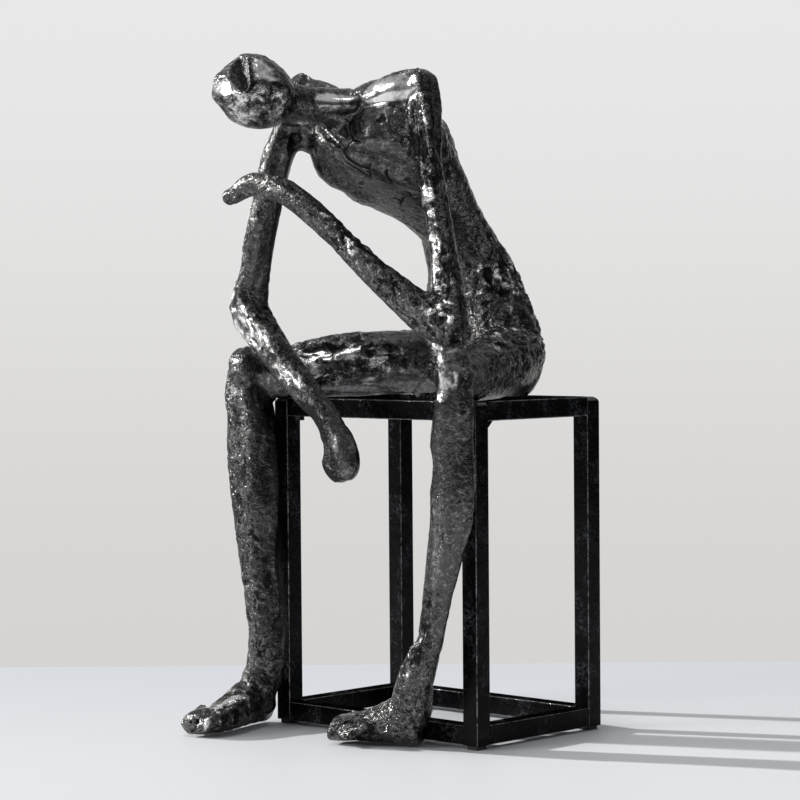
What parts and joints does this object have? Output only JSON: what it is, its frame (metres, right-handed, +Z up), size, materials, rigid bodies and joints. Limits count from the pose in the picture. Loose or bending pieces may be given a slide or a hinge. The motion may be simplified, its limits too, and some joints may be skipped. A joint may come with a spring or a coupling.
{
  "type": "thinker statue",
  "caption": "Elongated seated figure in a thinking pose, cast in dark metal, on an open stool of black square bar, for a desk or shelf.",
  "frame": {"origin": "bottom centre of the whole part's bounding box, on the floor under the pads", "axes": "+Z up; the figure faces -Y; the figure's left side is +X"},
  "size_m": [0.1456, 0.1646, 0.2963],
  "materials": {
    "figure_casting": "hand-worked and pitted, blackened, rubbed bright on the high spots",
    "stool_bar": "gloss black paint, slightly uneven",
    "foot_pad": "matt",
    "dowel": "plain drawn steel",
    "screw": "plain steel"
  },
  "bodies": {
    "root": {"arm_left": "figure_casting", "arm_right": "figure_casting", "foot_pad_front_left": "foot_pad", "foot_pad_front_right": "foot_pad", "foot_pad_rear_left": "foot_pad", "foot_pad_rear_right": "foot_pad", "head": "figure_casting", "hip_dowel_left": "dowel", "hip_dowel_right": "dowel", "leg_left": "figure_casting", "leg_right": "figure_casting", "neck_dowel": "dowel", "seat_screw_front_left": "screw", "seat_screw_front_right": "screw", "seat_screw_rear_left": "screw", "seat_screw_rear_right": "screw", "shoulder_dowel_left": "dowel", "shoulder_dowel_right": "dowel", "stool_bottom_rail_front": "stool_bar", "stool_bottom_rail_left": "stool_bar", "stool_bottom_rail_rear": "stool_bar", "stool_bottom_rail_right": "stool_bar", "stool_post_front_left": "stool_bar", "stool_post_front_right": "stool_bar", "stool_post_rear_left": "stool_bar", "stool_post_rear_right": "stool_bar", "stool_top_rail_front": "stool_bar", "stool_top_rail_left": "stool_bar", "stool_top_rail_rear": "stool_bar", "stool_top_rail_right": "stool_bar", "torso": "figure_casting"}
  },
  "joints": []
}
